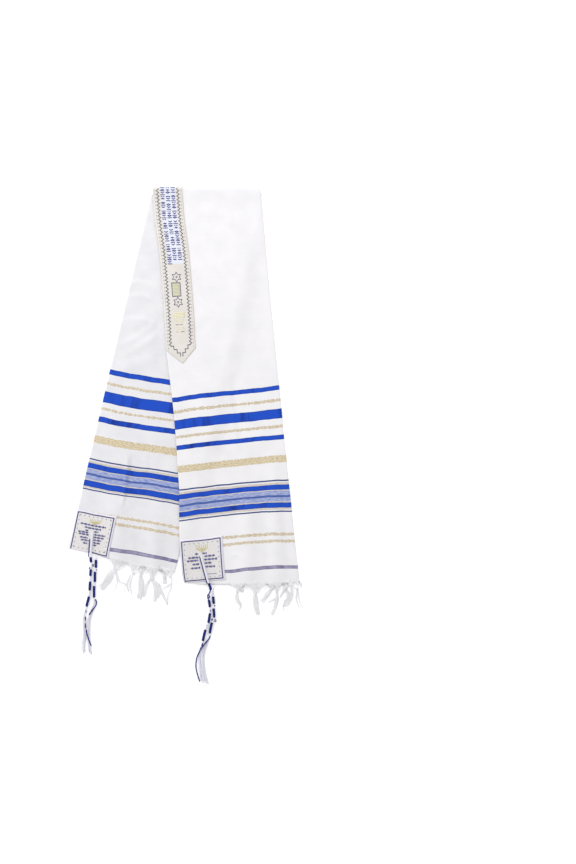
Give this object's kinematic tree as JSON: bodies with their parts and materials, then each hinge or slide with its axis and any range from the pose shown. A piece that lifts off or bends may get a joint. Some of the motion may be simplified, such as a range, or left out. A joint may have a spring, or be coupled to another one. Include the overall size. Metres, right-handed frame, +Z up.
{
  "type": "folded tallit prayer shawl",
  "caption": "Woven striped prayer shawl with neckband, corner patches, wound corner tassels and knotted fringe, folded and lying flat.",
  "frame": {"origin": "on the floor plane under the middle of the part's outline", "axes": "+Z up from the floor, +Y from the hems towards the cross fold, +X towards the front half's lengthwise fold"},
  "size_m": [0.491, 1.0375, 0.0102],
  "materials": {
    "shawl_weave": "soft white acrylic weave with royal blue, gold and heather stripes",
    "neckband_weave": "ivory jacquard ribbon with grey-blue ornament",
    "patch_weave": "ivory jacquard patch with grey-blue frame",
    "fringe_yarn": "loose white yarn",
    "tassel_cord": "white cord wound with navy blue"
  },
  "bodies": {
    "root": {"shawl_front": "shawl_weave", "shawl_rear": "shawl_weave", "shawl_hidden_layers": "shawl_weave", "neckband": "neckband_weave", "patch_front": "patch_weave", "patch_rear": "patch_weave", "fringe_front_upper": "fringe_yarn", "fringe_front_lower": "fringe_yarn", "fringe_rear_upper": "fringe_yarn", "fringe_rear_lower": "fringe_yarn", "tassel_front_upper": "tassel_cord", "tassel_front_lower": "tassel_cord", "tassel_rear_upper": "tassel_cord", "tassel_rear_lower": "tassel_cord"}
  },
  "joints": []
}
